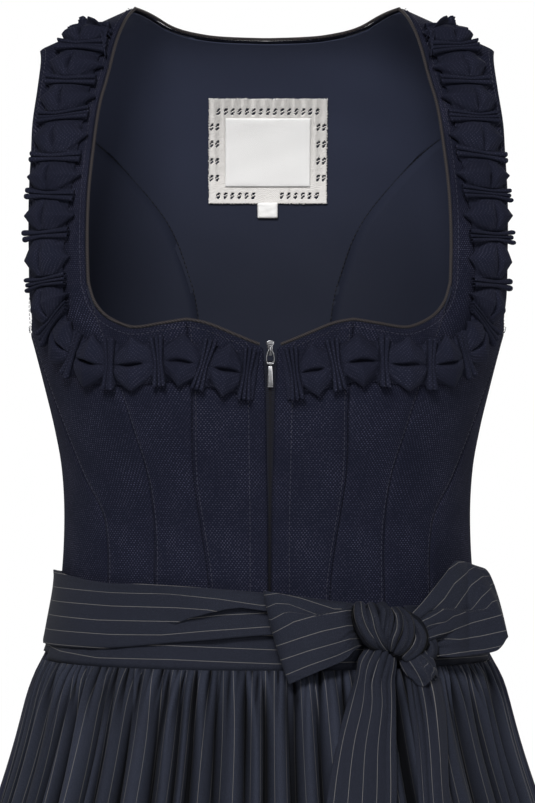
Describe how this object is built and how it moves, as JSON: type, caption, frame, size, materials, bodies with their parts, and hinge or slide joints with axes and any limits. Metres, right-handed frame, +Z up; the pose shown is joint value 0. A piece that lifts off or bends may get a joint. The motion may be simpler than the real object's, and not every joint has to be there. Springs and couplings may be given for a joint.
{
  "type": "dirndl",
  "caption": "Sleeveless dirndl with a square neckline, pinched neck trim, front zip, gathered skirt and a striped apron tied in a bow at the front.",
  "frame": {"origin": "on the shoulder line, midway between the two straps, level with the top of the straps, where the wearer's shoulders carry the dress", "axes": "+Z up; the front faces -Y; +X is the viewer's right, seen from the front"},
  "size_m": [0.6072, 0.5323, 1.0355],
  "materials": {
    "bodice_cloth": "matt navy weave with pale pin dots",
    "lining": "smooth plain weave, slightly lustrous",
    "skirt_cloth": "matt navy plain weave",
    "apron_cloth": "smooth grey-navy cloth with thin off-white stripes",
    "piping": "corded taupe piping",
    "label_white": "white woven label in a white lace frame",
    "zip_tape": "dark woven tape and coil",
    "zip_metal": "bright nickel-plated casting"
  },
  "bodies": {
    "dress": {"bodice_centre_front_right": "bodice_cloth", "bodice_princess_right": "bodice_cloth", "bodice_side_front_right": "bodice_cloth", "bodice_side_right": "bodice_cloth", "bodice_side_back_right": "bodice_cloth", "lining_side_back_right": "lining", "bodice_centre_front_left": "bodice_cloth", "bodice_princess_left": "bodice_cloth", "bodice_side_front_left": "bodice_cloth", "bodice_side_left": "bodice_cloth", "bodice_side_back_left": "bodice_cloth", "lining_side_back_left": "lining", "bodice_back": "bodice_cloth", "lining_back": "lining", "neck_piping": "piping", "trim_right": "bodice_cloth", "trim_left": "bodice_cloth", "label_lace_frame": "label_white", "label_panel": "label_white", "size_tag": "label_white", "zip_tape_right": "zip_tape", "zip_tape_left": "zip_tape", "zip_coil": "zip_tape", "zip_slider": "zip_metal", "skirt_front_left": "skirt_cloth", "skirt_front_right": "skirt_cloth", "skirt_side_right": "skirt_cloth", "skirt_back_right": "skirt_cloth", "skirt_back_left": "skirt_cloth", "skirt_side_left": "skirt_cloth", "apron": "apron_cloth", "apron_waistband": "apron_cloth", "tie_first_wrap": "apron_cloth", "tie_second_wrap": "apron_cloth", "bow_knot": "apron_cloth", "bow_loop_left": "apron_cloth", "bow_loop_right": "apron_cloth", "tie_tail_left": "apron_cloth", "tie_tail_right": "apron_cloth"},
    "zip_pull": {"zip_pull": "zip_metal"}
  },
  "joints": [
    {"name": "zip_pull_swing", "type": "hinge", "parent": "dress", "child": "zip_pull", "pos_m": [0, -0.11474, -0.2195], "axis": [-1, 0, 0], "range_deg": [0, 160]}
  ]
}
